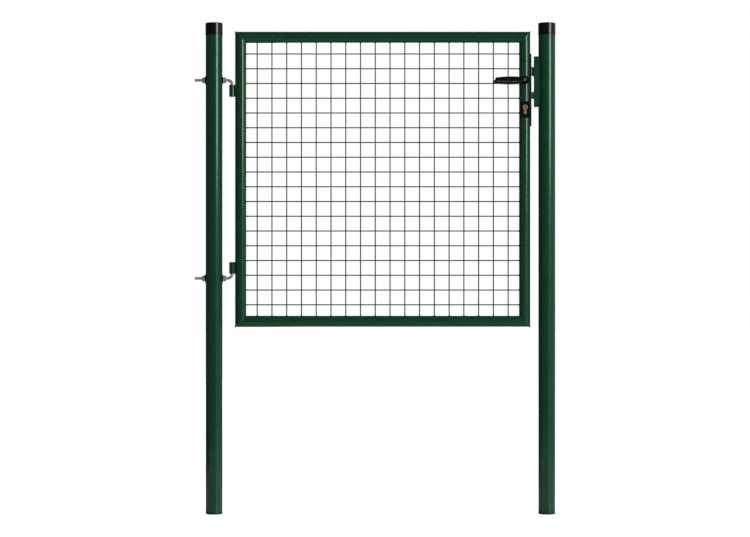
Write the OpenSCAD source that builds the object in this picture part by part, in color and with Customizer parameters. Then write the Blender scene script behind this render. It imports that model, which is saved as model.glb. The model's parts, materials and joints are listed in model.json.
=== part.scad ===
// Single-leaf garden gate: two round posts, a welded tube frame filled with square wire mesh,
// two adjustable hook hinges and a narrow cylinder lock with a lever on each side.
// Millimetres. +Z is up, +X runs from the hinge post to the latch post, -Y is the front.
// The origin is on the hinge post's axis, at its foot.

/* [Posts] */
// Outer diameter of both posts
post_d = 57; // [56:0.5:60]
// Wall thickness of both posts
post_wall = 1.5; // [1.5:0.5:3]
// Length of both posts, with the stretch that is set in the ground
post_h = 1660; // [1640:10:1800]
// How far the skirt of a cap reaches down over its post
cap_skirt = 38; // [25:1:45]
// Thickness of a cap's skirt
cap_wall = 1.1; // [1:0.1:1.5]
// Thickness of a cap's crown
cap_crown = 3; // [2.6:0.2:4]

/* [Leaf] */
// Width of the leaf, over its tubes
leaf_w = 1000; // [900:50:1100]
// Height of the leaf, over its tubes
leaf_h = 1000; // [900:50:1000]
// Height of the leaf's lower edge above the posts' feet
leaf_foot = 633; // [620:1:640]
// Outer diameter of the frame tube
tube_d = 38; // [38:0.5:40]
// Wall thickness of the frame tube
tube_wall = 1.5; // [1.2:0.1:1.6]
// Gap between the hinge post and the leaf
hinge_gap = 42.5; // [42:0.5:46]
// Gap between the leaf and the latch post
latch_gap = 27.5; // [27:0.5:29]

/* [Mesh] */
// Distance from wire to wire
mesh_pitch = 50; // [40:5:60]
// Diameter of a wire
wire_d = 4; // [3:0.5:5]

/* [Hinges] */
// Diameter of the hook bolts
rod_d = 10; // [9.6:0.1:10.2]
// Distance from the leaf's edge to the middle of its hinge eye
eye_inset = 200; // [150:10:250]
// Outer diameter of a hinge eye
eye_d = 20; // [19:0.5:21]
// Length of a hinge eye
eye_h = 40; // [30:1:50]
// Radius of the hook's bend, on the rod's axis
bend_r = 15; // [13:0.5:15]
// How far a hook bolt reaches behind the hinge post's axis
rod_tail = 65.5; // [60:0.5:70]

/* [Lock] */
// Distance from the leaf's top to the lever's axis
lever_drop = 165; // [160:1:175]
// Distance from the lever's axis to the cylinder's axis
cylinder_drop = 92; // [92:1:94]
// Length of the lever, from its axis to its tip
lever_len = 103; // [100:1:120]
// Height of the forend plate
forend_h = 245; // [240:1:250]
// Height of the keep on the latch post
keep_h = 170; // [168:1:176]
// Side of the square spindle
spindle_side = 8; // [7:0.5:8]
// How far the latch bolt stands out of the forend
latch_throw = 12; // [11:0.5:12.5]
// How far the dead bolt stands out of the forend
dead_throw = 18; // [14:0.5:18]

/* [Hidden] */

$fn = 48;
far = 4000; // longer than anything that is cut through
slack = 0.1; // play between pieces that sit in one another

moss_green = "#1d4a2c";
black = "#17181a";
zinc = "#8f979c";
steel = "#b3b6b8";
brass = "#b99a52";

// Posts
post_r = post_d / 2;
leaf_x0 = post_r + hinge_gap;
leaf_x1 = leaf_x0 + leaf_w;
latch_post_x = leaf_x1 + latch_gap + post_r;
cap_round = 2.4;
rod_hole_d = rod_d + 1;

// Leaf
tube_r = tube_d / 2;
leaf_z0 = leaf_foot;
leaf_z1 = leaf_z0 + leaf_h;
hinge_stile_x = leaf_x0 + tube_r;
lock_x = leaf_x1 - tube_r;

// Mesh: as many whole pitches as fit, centred in the frame
mesh_margin = 30;
pitches_x = floor((leaf_w - 2 * tube_d - 2 * mesh_margin) / mesh_pitch);
pitches_z = floor((leaf_h - 2 * tube_d - 2 * mesh_margin) / mesh_pitch);
wire_x0 = leaf_x0 + (leaf_w - pitches_x * mesh_pitch) / 2;
wire_z0 = leaf_z0 + (leaf_h - pitches_z * mesh_pitch) / 2;

// Hinges: the upper hook points down into its eye and the lower one points up,
// so the leaf can't be lifted off
hinge_axis_x = leaf_x0 - eye_d / 2;
eye_bore_d = rod_d + 0.6;
upper_eye_z = leaf_z1 - eye_inset;
lower_eye_z = leaf_z0 + eye_inset;
hook_play = 0.5;
upper_rod_z = upper_eye_z + eye_h / 2 + hook_play + bend_r;
lower_rod_z = lower_eye_z - eye_h / 2 - hook_play - bend_r;
saddle_d = 28;
saddle_t = 2;
washer_d = 20;
washer_t = 2;
nut_af = 17;
nut_t = 8;

// Lock
lever_z = leaf_z1 - lever_drop;
cylinder_z = lever_z - cylinder_drop;
latch_rise = 30;
dead_drop = 51;
lock_mid_drop = 33;
latch_z = lever_z + latch_rise;
dead_z = lever_z - dead_drop;
lock_mid_z = lever_z - lock_mid_drop;
forend_w = 24;
forend_t = 3.3;
forend_x = lock_x + tube_r + forend_t;
forend_rib_depth = 1.2;
forend_rib_x = lock_x + tube_r - forend_rib_depth;
case_w = 14;
case_wall = 1.5;
case_back = 15.4; // from the lever's axis back to the case's rear wall
case_x0 = lock_x - case_back;
case_h = 190;
case_z0 = lock_mid_z - case_h / 2;
slot_w = case_w + 0.8;
slot_h = case_h + 6;
rivet_d = 4;
rivet_inset = 5;
forend_screw_inset = 13;
latch_h = 30;
latch_w = 10;
latch_head_x = lock_x + 12;
latch_tail_x = lock_x - 0.8;
latch_spring_z = latch_z + 3;
dead_h = 23;
dead_w = 8;
dead_len = 34;
dead_tail_z = cylinder_z + 16;
follower_r = 9;
follower_boss_r = 7;
follower_arm_r = 18;
follower_arm_w = 5;
follower_lean = 20;
keep_gap = 7.3;
keep_x = forend_x + keep_gap;
keep_w = 28;
keep_t = 2.5;
keep_rise = 80.5; // from the lever's axis up to the keep's top
keep_z0 = lever_z + keep_rise - keep_h;
stud_d = 5;

// Cylinder: the usual European profile, its round head 17 wide and its tail 10 wide
head_r = 8.5;
tail_w = 10;
tail_depth = 24.5;
barrel_half = 27;
plug_r = 6.5;
cam_r = 13;
cam_gap = 5.2;
cam_w = 5;
pin_d = 3;
pin_pitch = 4;
pin_first = 9;
pins_a_side = 5;
pin_shear = plug_r + slack / 2;

// Levers, rosettes and escutcheons
rosette_r = 14;
rosette_face = tube_r + 7;
escutcheon_w = 32;
escutcheon_h = 56;
escutcheon_face = tube_r + 4;
neck_r = 9.5;
lever_t = 10;
lever_out = 58;
lever_tip_r = 6.5;
lever_mid_r = 9;
lever_bow_r = 350;
lever_crest = 0.42; // where the bow stands out furthest, as a share of the length
grip_end_x = lever_tip_r - lever_len;
grip_steps = 8;
spindle_half = 46;

// Radius of an arc that stands sag above the middle of a chord of twice half_chord
function arc_r(half_chord, sag) = (half_chord * half_chord + sag * sag) / (2 * sag);

// ---- helpers -------------------------------------------------------------------------------

// Lays a shape drawn in X and Y up in X and Z; its height then points to the front, -Y
module stand_up(x = 0, z = 0) {
    translate([x, 0, z])
        rotate([90, 0, 0])
            children();
}

// Points a shape's height along +X
module along_x(x = 0, z = 0) {
    translate([x, 0, z])
        rotate([0, 90, 0])
            children();
}

module rounded_rect(w, h, r) {
    square([w - 2 * r, h], center = true);
    square([w, h - 2 * r], center = true);
    for (sx = [-1, 1], sy = [-1, 1])
        translate([sx * (w / 2 - r), sy * (h / 2 - r)])
            circle(r);
}

// ---- posts ---------------------------------------------------------------------------------

module post_tube() {
    difference() {
        cylinder(d = post_d, h = post_h);
        translate([0, 0, -1])
            cylinder(d = post_d - 2 * post_wall, h = post_h + 2);
    }
}

module hinge_post() {
    color(moss_green)
        difference() {
            post_tube();
            for (z = [upper_rod_z, lower_rod_z])
                along_x(-post_d, z)
                    cylinder(d = rod_hole_d, h = 2 * post_d);
        }
}

module latch_post() {
    color(moss_green)
        translate([latch_post_x, 0, 0])
            post_tube();
}

// A moulded sleeve with a flat crown and a rounded rim
module post_cap(x) {
    bore_r = post_r + slack / 2;
    out_r = bore_r + cap_wall;
    color(black)
        translate([x, 0, post_h])
            rotate_extrude()
                union() {
                    translate([bore_r, -cap_skirt])
                        square([cap_wall, cap_skirt + cap_crown - cap_round]);
                    square([out_r, cap_crown - cap_round]);
                    square([out_r - cap_round, cap_crown]);
                    intersection() {
                        translate([out_r - cap_round, cap_crown - cap_round])
                            circle(cap_round);
                        square(out_r);
                    }
                }
}

// The channel that the bolts enter, its flanges cut to the round of the post
module strike_keep() {
    flange_end = latch_post_x - keep_x;
    side_play = 1.5;
    end_play = 2;
    color(moss_green)
        difference() {
            translate([keep_x, -keep_w / 2, keep_z0])
                cube([flange_end, keep_w, keep_h]);
            translate([keep_x + keep_t, -keep_w / 2 + keep_t, keep_z0 - 1])
                cube([flange_end, keep_w - 2 * keep_t, keep_h + 2]);
            translate([latch_post_x, 0, 0])
                cylinder(d = post_d, h = post_h);
            translate([keep_x - 1, -latch_w / 2 - side_play, latch_z - latch_h / 2 - end_play])
                cube([keep_t + 2, latch_w + 2 * side_play, latch_h + 2 * end_play]);
            translate([keep_x - 1, -dead_w / 2 - side_play, dead_z - dead_h / 2 - end_play])
                cube([keep_t + 2, dead_w + 2 * side_play, dead_h + 2 * end_play]);
        }
}

// ---- hinges --------------------------------------------------------------------------------

// The rod runs through the post on its axis; way is -1 for a pin that points down, 1 for up
module hinge_hook(rod_z, way) {
    bend_x = hinge_axis_x - bend_r;
    pin_len = hook_play + eye_h - 2;
    color(zinc)
        union() {
            along_x(-rod_tail, rod_z)
                cylinder(d = rod_d, h = rod_tail + bend_x);
            translate([bend_x, 0, rod_z + way * bend_r])
                mirror([0, 0, way > 0 ? 0 : 1])
                    rotate([90, 0, 0])
                        rotate([0, 0, -90])
                            rotate_extrude(angle = 90)
                                translate([bend_r, 0])
                                    circle(d = rod_d);
            translate([hinge_axis_x, 0, rod_z + way * bend_r - (way > 0 ? 0 : pin_len)])
                cylinder(d = rod_d, h = pin_len);
        }
}

module upper_hinge_hook() {
    hinge_hook(upper_rod_z, -1);
}

module lower_hinge_hook() {
    hinge_hook(lower_rod_z, 1);
}

// Repeats a piece that lies on the post's crest, on both sides of the post at both hinges
module at_each_rod_side(offset) {
    for (z = [upper_rod_z, lower_rod_z], side = [0, 1])
        translate([0, 0, z])
            mirror([side, 0, 0])
                along_x(post_r + offset)
                    children();
}

// A hexagon nut with its corners turned down on both faces
module hinge_nuts() {
    corner_r = nut_af / 2 / cos(30);
    turned = 1;
    color(zinc)
        at_each_rod_side(saddle_t + washer_t)
            difference() {
                intersection() {
                    cylinder(r = corner_r, h = nut_t, $fn = 6);
                    rotate_extrude()
                        polygon([
                            [0, 0],
                            [corner_r - 2 * turned, 0],
                            [corner_r, turned],
                            [corner_r, nut_t - turned],
                            [corner_r - 2 * turned, nut_t],
                            [0, nut_t]
                        ]);
                }
                translate([0, 0, -1])
                    cylinder(d = rod_d + slack, h = nut_t + 2);
            }
}

module hinge_washers() {
    color(zinc)
        at_each_rod_side(saddle_t)
            difference() {
                cylinder(d = washer_d, h = washer_t);
                translate([0, 0, -1])
                    cylinder(d = rod_d + 0.5, h = washer_t + 2);
            }
}

// A moulded washer, flat outside and hollowed inside to sit on the round post
module saddle_washers() {
    depth = 8;
    color(black)
        difference() {
            at_each_rod_side(saddle_t - depth)
                difference() {
                    cylinder(d = saddle_d, h = depth);
                    translate([0, 0, -1])
                        cylinder(d = rod_d + 0.5, h = depth + 2);
                }
            cylinder(d = post_d, h = post_h);
        }
}

// The eye is a short tube beside the stile, with the weld that fills the notch between them
module hinge_eye(mid_z) {
    weld_w = 9;
    weld_inset = 3;
    color(moss_green)
        translate([hinge_axis_x, 0, mid_z - eye_h / 2])
            difference() {
                union() {
                    cylinder(d = eye_d, h = eye_h);
                    translate([eye_d / 4, -weld_w / 2, weld_inset])
                        cube([eye_d / 2, weld_w, eye_h - 2 * weld_inset]);
                }
                translate([0, 0, -1])
                    cylinder(d = eye_bore_d, h = eye_h + 2);
                translate([eye_d / 2 + tube_r, 0, -1])
                    cylinder(d = tube_d, h = eye_h + 2);
            }
}

module upper_hinge_eye() {
    hinge_eye(upper_eye_z);
}

module lower_hinge_eye() {
    hinge_eye(lower_eye_z);
}

// ---- leaf frame ----------------------------------------------------------------------------

module frame_tube(length) {
    difference() {
        cylinder(d = tube_d, h = length);
        translate([0, 0, -1])
            cylinder(d = tube_d - 2 * tube_wall, h = length + 2);
    }
}

// Keeps what lies inside an outline drawn in X and Z, so that tubes meet in mitres
module mitred(outline) {
    intersection() {
        children();
        stand_up()
            linear_extrude(2 * tube_d, center = true)
                polygon(outline);
    }
}

module hinge_stile() {
    inner_x = leaf_x0 + tube_d;
    color(moss_green)
        mitred([
            [leaf_x0, leaf_z0],
            [leaf_x0, leaf_z1],
            [inner_x, leaf_z1 - tube_d],
            [inner_x, leaf_z0 + tube_d]
        ])
            translate([hinge_stile_x, 0, leaf_z0])
                frame_tube(leaf_h);
}

// The latch stile is slotted for the lock case and drilled for the spindle and the cylinder
module latch_stile() {
    inner_x = leaf_x1 - tube_d;
    color(moss_green)
        difference() {
            mitred([
                [leaf_x1, leaf_z0],
                [leaf_x1, leaf_z1],
                [inner_x, leaf_z1 - tube_d],
                [inner_x, leaf_z0 + tube_d]
            ])
                translate([lock_x, 0, leaf_z0])
                    frame_tube(leaf_h);
            translate([lock_x, -slot_w / 2, lock_mid_z - slot_h / 2])
                cube([tube_d, slot_w, slot_h]);
            stand_up(lock_x, lever_z)
                cylinder(r = follower_boss_r + 1, h = 2 * tube_d, center = true);
            stand_up(lock_x, cylinder_z)
                linear_extrude(2 * tube_d, center = true)
                    cylinder_profile(1);
            for (side = [-1, 1])
                along_x(lock_x, forend_screw_z(side))
                    cylinder(d = stud_d + slack, h = tube_d);
        }
}

module top_rail() {
    rail(leaf_z1, -1);
}

module bottom_rail() {
    rail(leaf_z0, 1);
}

// outer_z is the rail's outer edge; way points from it to the middle of the leaf
module rail(outer_z, way) {
    inner_z = outer_z + way * tube_d;
    color(moss_green)
        mitred([
            [leaf_x0, outer_z],
            [leaf_x1, outer_z],
            [leaf_x1 - tube_d, inner_z],
            [leaf_x0 + tube_d, inner_z]
        ])
            along_x(leaf_x0, outer_z + way * tube_r)
                frame_tube(leaf_w);
}

// ---- mesh ----------------------------------------------------------------------------------

// The upright wires lie in front of the level ones; each end is cut to the round of its tube
module vertical_wires() {
    color(moss_green)
        difference() {
            for (i = [0:pitches_x])
                translate([wire_x0 + i * mesh_pitch, -wire_d / 2, leaf_z0 + tube_r])
                    cylinder(d = wire_d, h = leaf_h - tube_d);
            for (z = [leaf_z0 + tube_r, leaf_z1 - tube_r])
                along_x(leaf_x0, z)
                    cylinder(d = tube_d, h = leaf_w);
        }
}

module horizontal_wires() {
    color(moss_green)
        difference() {
            for (i = [0:pitches_z])
                translate([0, wire_d / 2, 0])
                    along_x(hinge_stile_x, wire_z0 + i * mesh_pitch)
                        cylinder(d = wire_d, h = leaf_w - tube_d);
            for (x = [hinge_stile_x, lock_x])
                translate([x, 0, leaf_z0])
                    cylinder(d = tube_d, h = leaf_h);
        }
}

// ---- lock case -----------------------------------------------------------------------------

function forend_screw_z(side) = lock_mid_z + side * (forend_h / 2 - forend_screw_inset);

// The outline of the cylinder, grown by play on every side
module cylinder_profile(play) {
    circle(head_r + play);
    translate([-tail_w / 2 - play, tail_w / 2 - tail_depth])
        square([tail_w + 2 * play, tail_depth - tail_w / 2]);
    translate([0, tail_w / 2 - tail_depth])
        circle(tail_w / 2 + play);
}

// What passes through both side plates of the case
module case_openings() {
    stand_up(lock_x, lever_z)
        cylinder(r = follower_boss_r + slack, h = 2 * case_w, center = true);
    stand_up(lock_x, cylinder_z)
        linear_extrude(2 * case_w, center = true)
            cylinder_profile(slack);
    at_each_rivet()
        cylinder(d = rivet_d + slack, h = 2 * case_w, center = true);
}

module at_each_rivet() {
    for (x = [case_x0 + rivet_inset, forend_rib_x - rivet_inset])
        for (z = [case_z0 + rivet_inset, case_z0 + case_h - rivet_inset])
            stand_up(x, z)
                children();
}

// A tray open to the front and towards the forend
module lock_case() {
    depth = case_w - case_wall;
    color(steel)
        difference() {
            translate([case_x0, -depth + case_w / 2, case_z0])
                cube([forend_rib_x - case_x0, depth, case_h]);
            translate([case_x0 + case_wall, -case_w / 2, case_z0 + case_wall])
                cube([tube_d, case_w - case_wall, case_h - 2 * case_wall]);
            case_openings();
        }
}

module lock_cover() {
    color(steel)
        difference() {
            translate([case_x0, -case_w / 2, case_z0])
                cube([forend_rib_x - case_x0, case_wall, case_h]);
            case_openings();
        }
}

module case_rivets() {
    color(steel)
        at_each_rivet()
            cylinder(d = rivet_d, h = case_w, center = true);
}

// A plate hollowed to the round of the stile, with a rib that fills the stile's slot
module lock_forend() {
    corner_r = 4;
    play = 0.3;
    color(black)
        difference() {
            union() {
                difference() {
                    translate([lock_x, 0, lock_mid_z])
                        rotate([0, 90, 0])
                            linear_extrude(tube_r + forend_t)
                                rounded_rect(forend_h, forend_w, corner_r);
                    translate([lock_x, 0, leaf_z0])
                        cylinder(r = tube_r + slack, h = leaf_h);
                }
                translate([forend_rib_x, -case_w / 2, lock_mid_z - slot_h / 2 + 1])
                    cube([forend_x - forend_rib_x, case_w, slot_h - 2]);
            }
            translate([lock_x, -latch_w / 2 - play, latch_z - latch_h / 2 - play])
                cube([tube_d, latch_w + 2 * play, latch_h + 2 * play]);
            translate([lock_x, -dead_w / 2 - play, dead_z - dead_h / 2 - play])
                cube([tube_d, dead_w + 2 * play, dead_h + 2 * play]);
            for (side = [-1, 1])
                countersink(forend_screw_z(side));
            countersink(cylinder_screw_z());
        }
}

function cylinder_screw_z() = cylinder_z + tail_w / 2 - tail_depth;

// Room for a flat-headed screw in the forend
module countersink(z) {
    along_x(lock_x, z)
        cylinder(d = stud_d + 0.4, h = tube_d);
    along_x(forend_x, z)
        screw_head(slack);
}

// A flat head that ends at height 0 and narrows down to its shank
module screw_head(play) {
    head_h = 2.4;
    mirror([0, 0, 1])
        cylinder(r1 = stud_d - 0.3 + play, r2 = stud_d / 2 + play, h = head_h);
}

// A flat-headed screw of the given length, with a cross cut in its head
module flat_screw(length) {
    cross_w = 1;
    cross_l = 4.6;
    cross_h = 1.4;
    difference() {
        union() {
            screw_head(0);
            translate([0, 0, -length])
                cylinder(d = stud_d, h = length);
        }
        for (turn = [0, 90])
            rotate([0, 0, turn])
                translate([-cross_l / 2, -cross_w / 2, -cross_h])
                    cube([cross_l, cross_w, 2 * cross_h]);
    }
}

module forend_screws() {
    color(zinc)
        for (side = [-1, 1])
            along_x(forend_x, forend_screw_z(side))
                flat_screw(12);
}

module cylinder_screw() {
    color(zinc)
        along_x(forend_x, cylinder_screw_z())
            flat_screw(forend_x - lock_x + tail_w / 2 - 0.5);
}

// ---- latch and dead bolt -------------------------------------------------------------------

// The head is bevelled at the front, so the latch rides over the keep as the leaf closes
module latch_bolt() {
    tip_x = forend_x + latch_throw;
    leg_t = 3.5;
    bar_z = lever_z + follower_arm_r + follower_arm_w / 2 + 1;
    bar_h = 7;
    leg_z = lever_z + 16;
    color(steel)
        union() {
            translate([0, 0, latch_z - latch_h / 2])
                linear_extrude(latch_h)
                    polygon([
                        [latch_head_x, -latch_w / 2],
                        [forend_x + 0.5, -latch_w / 2],
                        [tip_x, latch_w / 2 - 2.5],
                        [tip_x, latch_w / 2],
                        [latch_head_x, latch_w / 2]
                    ]);
            translate([latch_tail_x, -latch_w / 2, bar_z])
                cube([latch_head_x - latch_tail_x, latch_w, bar_h]);
            translate([latch_tail_x, -latch_w / 2, leg_z])
                cube([leg_t, latch_w, bar_z - leg_z]);
        }
}

// A coil spring along X, swept as a ring of points that climbs turn by turn
module latch_spring() {
    turns = 8;
    steps = 12;
    sides = 6;
    wire_r = 0.4;
    coil_r = 3.4;
    x0 = case_x0 + case_wall + slack + wire_r;
    x1 = latch_head_x - slack - wire_r;
    rings = turns * steps;
    points = [
        for (i = [0:rings], k = [0:sides - 1])
            let (
                turn = i * 360 / steps,
                around = k * 360 / sides,
                r = coil_r + wire_r * cos(around)
            )
            [x0 + (x1 - x0) * i / rings + wire_r * sin(around), r * cos(turn), r * sin(turn)]
    ];
    skin = [
        for (i = [0:rings - 1], k = [0:sides - 1])
            let (next = (k + 1) % sides)
            [
                i * sides + k,
                (i + 1) * sides + k,
                (i + 1) * sides + next,
                i * sides + next
            ]
    ];
    first_end = [for (k = [0:sides - 1]) k];
    last_end = [for (k = [sides - 1:-1:0]) rings * sides + k];
    color(steel)
        translate([0, 0, latch_spring_z])
            polyhedron(points, concat(skin, [first_end, last_end]));
}

module dead_bolt() {
    tip_x = forend_x + dead_throw;
    leg_t = 5;
    color(steel)
        union() {
            translate([tip_x - dead_len, -dead_w / 2, dead_z - dead_h / 2])
                cube([dead_len, dead_w, dead_h]);
            translate([tip_x - dead_len, -dead_w / 2, dead_tail_z])
                cube([leg_t, dead_w, dead_z - dead_tail_z]);
        }
}

// The follower turns in the case on two bosses; its arm draws the latch back
module latch_follower() {
    hub_half = case_w / 2 - case_wall - 0.3;
    arm_half = 4;
    color(steel)
        stand_up(lock_x, lever_z)
            difference() {
                union() {
                    cylinder(r = follower_r, h = 2 * hub_half, center = true);
                    cylinder(r = follower_boss_r, h = case_w - slack, center = true);
                    rotate([0, 0, -follower_lean]) {
                        translate([-follower_arm_w / 2, 0, -arm_half])
                            cube([follower_arm_w, follower_arm_r, 2 * arm_half]);
                        translate([0, follower_arm_r, 0])
                            cylinder(d = follower_arm_w, h = 2 * arm_half, center = true);
                    }
                }
                square_bore(case_w);
            }
}

module square_bore(half_length) {
    side = spindle_side + slack;
    cube([side, side, 2 * half_length], center = true);
}

// ---- levers --------------------------------------------------------------------------------

module spindle() {
    color(steel)
        translate([lock_x, 0, lever_z])
            cube([spindle_side, 2 * spindle_half, spindle_side], center = true);
}

// Half the grip's height at x, which runs from 0 at the neck to minus the length at the tip
function grip_half(x) =
    let (mid_x = grip_end_x / 2, side_r = arc_r(mid_x, lever_mid_r - lever_tip_r))
    lever_mid_r - side_r + sqrt(side_r * side_r - (x - mid_x) * (x - mid_x));

// How far the grip's outer face stands from the leaf's middle plane at x
function grip_out(x) =
    let (from_crest = x + lever_crest * lever_len)
    lever_out - lever_bow_r + sqrt(lever_bow_r * lever_bow_r - from_crest * from_crest);

// The grip from the front: leaf-shaped, with a round tip
module grip_front() {
    edge = [for (i = [0:grip_steps]) grip_end_x * i / grip_steps];
    polygon(concat(
        [for (x = edge) [x, grip_half(x)]],
        [for (turn = [105:15:255]) [grip_end_x, 0] + lever_tip_r * [cos(turn), sin(turn)]],
        [for (i = [grip_steps:-1:0]) [edge[i], -grip_half(edge[i])]]
    ));
}

// The grip from above: a band of even thickness that bows outwards
module grip_plan() {
    run = [for (i = [0:grip_steps]) -(lever_len + 1) * i / grip_steps];
    polygon(concat(
        [for (x = run) [x, -grip_out(x)]],
        [for (i = [grip_steps:-1:0]) [run[i], lever_t - grip_out(run[i])]]
    ));
}

// The lever in front: a round neck and the grip, bored square for the spindle
module lever() {
    neck_start = rosette_face + 0.4;
    neck_end = lever_out - 1.5;
    difference() {
        union() {
            stand_up()
                translate([0, 0, neck_start])
                    cylinder(r = neck_r, h = neck_end - neck_start);
            intersection() {
                stand_up()
                    translate([0, 0, rosette_face])
                        linear_extrude(lever_out)
                            grip_front();
                linear_extrude(4 * lever_mid_r, center = true)
                    grip_plan();
            }
        }
        stand_up()
            square_bore(spindle_half + 0.5);
        translate([0, -grub_y(), -2 * neck_r])
            cylinder(d = stud_d + slack, h = 2 * neck_r);
    }
}

function grub_y() = rosette_face + 7;

module front_lever() {
    color(black)
        translate([lock_x, 0, lever_z])
            lever();
}

module back_lever() {
    color(black)
        translate([lock_x, 0, lever_z])
            mirror([0, 1, 0])
                lever();
}

// One grub screw under each neck grips the spindle; each has a hexagon socket
module lever_grub_screws() {
    top = -spindle_side / 2 - slack;
    length = 4.6;
    socket_r = 1.4;
    color(steel)
        for (side = [-1, 1])
            translate([lock_x, side * grub_y(), lever_z + top - length])
                difference() {
                    cylinder(d = stud_d, h = length);
                    translate([0, 0, -1])
                        cylinder(r = socket_r, h = 3, $fn = 6);
                }
}

// A round base under the lever, hollowed to sit on the stile
module rosette() {
    neck_hole_r = follower_boss_r + 0.5;
    color(black)
        difference() {
            stand_up(lock_x, lever_z)
                translate([0, 0, tube_r - 7])
                    cylinder(r = rosette_r, h = rosette_face - tube_r + 7);
            stand_up(lock_x, lever_z)
                cylinder(r = neck_hole_r, h = tube_d);
            translate([lock_x, 0, leaf_z0])
                cylinder(r = tube_r + slack, h = leaf_h);
        }
}

module front_rosette() {
    rosette();
}

module back_rosette() {
    mirror([0, 1, 0])
        rosette();
}

// A moulded plate round the cylinder, hollowed to sit on the stile and relieved beside the forend
module escutcheon() {
    back = tube_r - 10;
    mid_drop = tail_depth / 2 - head_r / 2;
    corner_r = 5;
    relief = 0.4;
    color(black)
        difference() {
            stand_up(lock_x, cylinder_z - mid_drop)
                translate([0, 0, back])
                    linear_extrude(escutcheon_face - back)
                        rounded_rect(escutcheon_w, escutcheon_h, corner_r);
            stand_up(lock_x, cylinder_z)
                linear_extrude(tube_d)
                    cylinder_profile(relief);
            translate([lock_x, 0, leaf_z0])
                cylinder(r = tube_r + slack, h = leaf_h);
            translate([lock_x, -forend_w / 2 - relief, lock_mid_z - forend_h / 2])
                cube([tube_d, forend_w, forend_h]);
        }
}

module front_escutcheon() {
    escutcheon();
}

module back_escutcheon() {
    mirror([0, 1, 0])
        escutcheon();
}

// ---- cylinder ------------------------------------------------------------------------------

// The body is one piece with a gap in its middle for the cam, bridged at the foot
module cylinder_body() {
    bridge_top = -cam_r - 2.5;
    color(brass)
        difference() {
            stand_up(lock_x, cylinder_z)
                linear_extrude(2 * barrel_half, center = true)
                    cylinder_profile(0);
            stand_up(lock_x, cylinder_z)
                cylinder(r = plug_r + slack, h = far, center = true);
            translate([lock_x - head_r - 1, -cam_gap, cylinder_z + bridge_top])
                cube([2 * head_r + 2, 2 * cam_gap, far]);
            along_x(lock_x - tube_r, cylinder_screw_z())
                cylinder(d = stud_d + slack, h = tube_d);
            at_each_pin()
                translate([0, 0, cylinder_z - tail_depth + 2.5])
                    cylinder(d = pin_d + slack, h = tail_depth - 2.5 - plug_r + 1);
        }
}

module at_each_pin() {
    for (i = [0:pins_a_side - 1], side = [-1, 1])
        translate([lock_x, side * (pin_first + i * pin_pitch), 0])
            children();
}

// The lower pins stand in the body, just under the plug, as they do with the key in
module driver_pins() {
    length = 5;
    color(brass)
        at_each_pin()
            translate([0, 0, cylinder_z - pin_shear - slack - length])
                cylinder(d = pin_d, h = length);
}

// The upper pins ride in the plug; each rounds off where it meets the key
module key_pins() {
    length = 4.4;
    color(brass)
        at_each_pin()
            translate([0, 0, cylinder_z - plug_r + slack])
                union() {
                    cylinder(d = pin_d, h = length - pin_d / 2);
                    translate([0, 0, length - pin_d / 2])
                        sphere(d = pin_d);
                }
}

// A plug fills its half of the body, with a keyway and the holes of its pins
module plug() {
    keyway_w = 2.6;
    keyway_h = 8;
    color(brass)
        difference() {
            stand_up(lock_x, cylinder_z)
                translate([0, 0, cam_gap])
                    cylinder(r = plug_r, h = barrel_half + slack - cam_gap);
            translate([lock_x - keyway_w / 2, -far, cylinder_z - keyway_h / 2 - 0.6])
                cube([keyway_w, far, keyway_h]);
            at_each_pin()
                translate([0, 0, cylinder_z - plug_r - 1])
                    cylinder(d = pin_d + slack, h = plug_r + 1);
        }
}

module front_plug() {
    plug();
}

module back_plug() {
    mirror([0, 1, 0])
        plug();
}

// The cam joins the two plugs; its nose points down and to the side when a key can be drawn out
module lock_cam() {
    rest_turn = 150;
    half = cam_gap - slack;
    color(steel)
        stand_up(lock_x, cylinder_z)
            union() {
                cylinder(r = head_r - 0.5, h = 2 * half, center = true);
                rotate([0, 0, rest_turn])
                    intersection() {
                        translate([-cam_w / 2, 0, -half + 0.4])
                            cube([cam_w, cam_r + 1, 2 * half - 0.8]);
                        cylinder(r = cam_r, h = 2 * half, center = true);
                    }
            }
}

// ---- drawing -------------------------------------------------------------------------------

hinge_post();
post_cap(0);  // hinge_post_cap
latch_post();
post_cap(latch_post_x);  // latch_post_cap
strike_keep();
upper_hinge_hook();
lower_hinge_hook();
hinge_nuts();
hinge_washers();
saddle_washers();
hinge_stile();
latch_stile();
top_rail();
bottom_rail();
vertical_wires();
horizontal_wires();
upper_hinge_eye();
lower_hinge_eye();
lock_case();
lock_cover();
case_rivets();
lock_forend();
forend_screws();
front_rosette();
back_rosette();
front_escutcheon();
back_escutcheon();
cylinder_body();
driver_pins();
cylinder_screw();
front_lever();
back_lever();
spindle();
latch_follower();
lever_grub_screws();
latch_bolt();
latch_spring();
dead_bolt();
front_plug();
back_plug();
lock_cam();
key_pins();
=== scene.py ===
# %% [markdown]
# # A wire-mesh garden gate between two posts
#
# The gate comes from the workshop in two halves of one job. The exact half, with tubes, bores and
# hinge lines, arrives here as a fixed frame. This notebook adds the other half: the finishes, and
# the shapes that a bench leaves behind, such as weld beads, rolled threads, broken edges and a
# moulded lever. Everything is in metres, and every piece is placed from the frame's own boxes.

# %% Load the gate
import json
import math

import bmesh
import bpy
from mathutils import Matrix, Vector


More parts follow.
